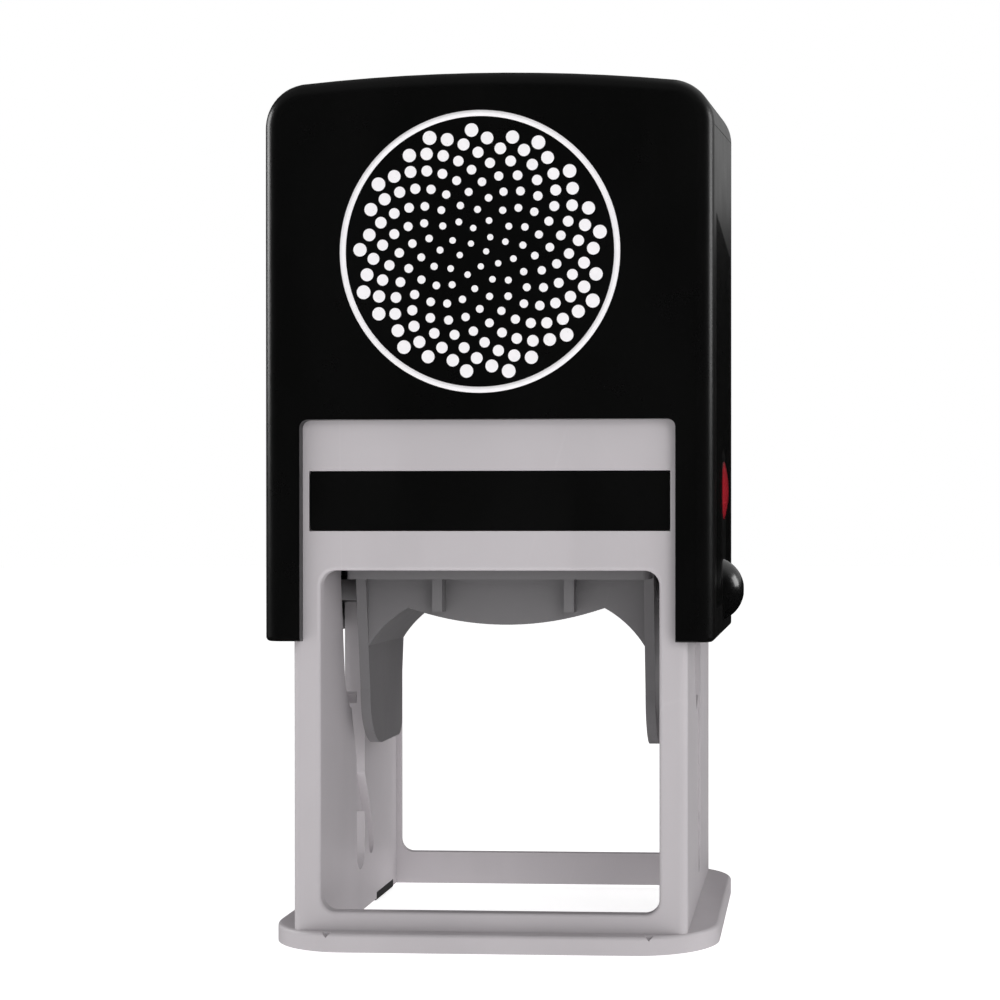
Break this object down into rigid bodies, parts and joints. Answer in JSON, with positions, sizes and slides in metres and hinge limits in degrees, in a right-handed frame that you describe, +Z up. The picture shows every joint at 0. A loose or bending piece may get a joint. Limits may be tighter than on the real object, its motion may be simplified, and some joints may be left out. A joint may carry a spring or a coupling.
{
  "type": "self-inking hand stamp",
  "caption": "Self-inking hand stamp: the cap slides down its frame on a spring and flips an inked rubber die over onto the paper.",
  "frame": {"origin": "centre of the footprint, on the surface that the rubber feet stand on", "axes": "+Z up through the cap, +Y from the front window to the rear one, +X to the right seen from the front"},
  "size_m": [0.0664, 0.0588, 0.126],
  "materials": {
    "frame_grey": "fine satin moulded plastic",
    "platen_grey": "satin moulded plastic",
    "cap_black": "semi-gloss moulded plastic",
    "cover_black": "gloss moulded plastic",
    "axle_black": "gloss moulded plastic",
    "tray_black": "satin moulded plastic",
    "lock_red": "gloss moulded plastic",
    "felt_inked": "felt soaked with black ink",
    "card_white": null,
    "foot_rubber": "matt rubber",
    "cushion_foam": "closed-cell foam",
    "die_rubber": "laser-cut rubber, inked on its face",
    "spring_steel": "drawn spring wire"
  },
  "bodies": {
    "frame": {"base_frame": "frame_grey", "foot_front_left": "foot_rubber", "foot_front_right": "foot_rubber", "foot_rear_left": "foot_rubber", "foot_rear_right": "foot_rubber", "ink_tray": "tray_black", "ink_felt": "felt_inked", "return_spring": "spring_steel"},
    "cap": {"cap_shell": "cap_black", "index_card": "card_white", "axle_pin_left": "axle_black", "axle_pin_right": "axle_black"},
    "cover": {"top_cover": "cover_black"},
    "lock_left": {"lock_button_left": "lock_red", "lock_spring_left": "spring_steel"},
    "lock_right": {"lock_button_right": "lock_red", "lock_spring_right": "spring_steel"},
    "platen_carrier": {"platen": "platen_grey", "die_plate": "platen_grey", "die_cushion": "cushion_foam", "rubber_die": "die_rubber"}
  },
  "joints": [
    {"name": "cap_press", "type": "slide", "parent": "frame", "child": "cap", "axis": [0, 0, -1], "range_m": [0, 0.0387], "stiffness_N_per_m": 250, "springref_m": -0.02, "deforming": ["return_spring"]},
    {"name": "platen_flip", "type": "hinge", "parent": "cap", "child": "platen_carrier", "pos_m": [0, 0, 0.0482], "axis": [1, 0, 0], "range_deg": [0, 180], "deforming": ["ink_felt"]},
    {"name": "lock_left_press", "type": "slide", "parent": "cap", "child": "lock_left", "axis": [1, 0, 0], "range_m": [0, 0.0009], "stiffness_N_per_m": 900, "springref_m": -0.0008},
    {"name": "lock_right_press", "type": "slide", "parent": "cap", "child": "lock_right", "axis": [-1, 0, 0], "range_m": [0, 0.0009], "stiffness_N_per_m": 900, "springref_m": -0.0008},
    {"name": "cover_lift", "type": "slide", "parent": "cap", "child": "cover", "axis": [0, 0, 1], "range_m": [0, 0.012]}
  ],
  "couplings": [
    {"joint": "platen_flip", "follows": "cap_press", "rad_per_m": 81.178}
  ]
}
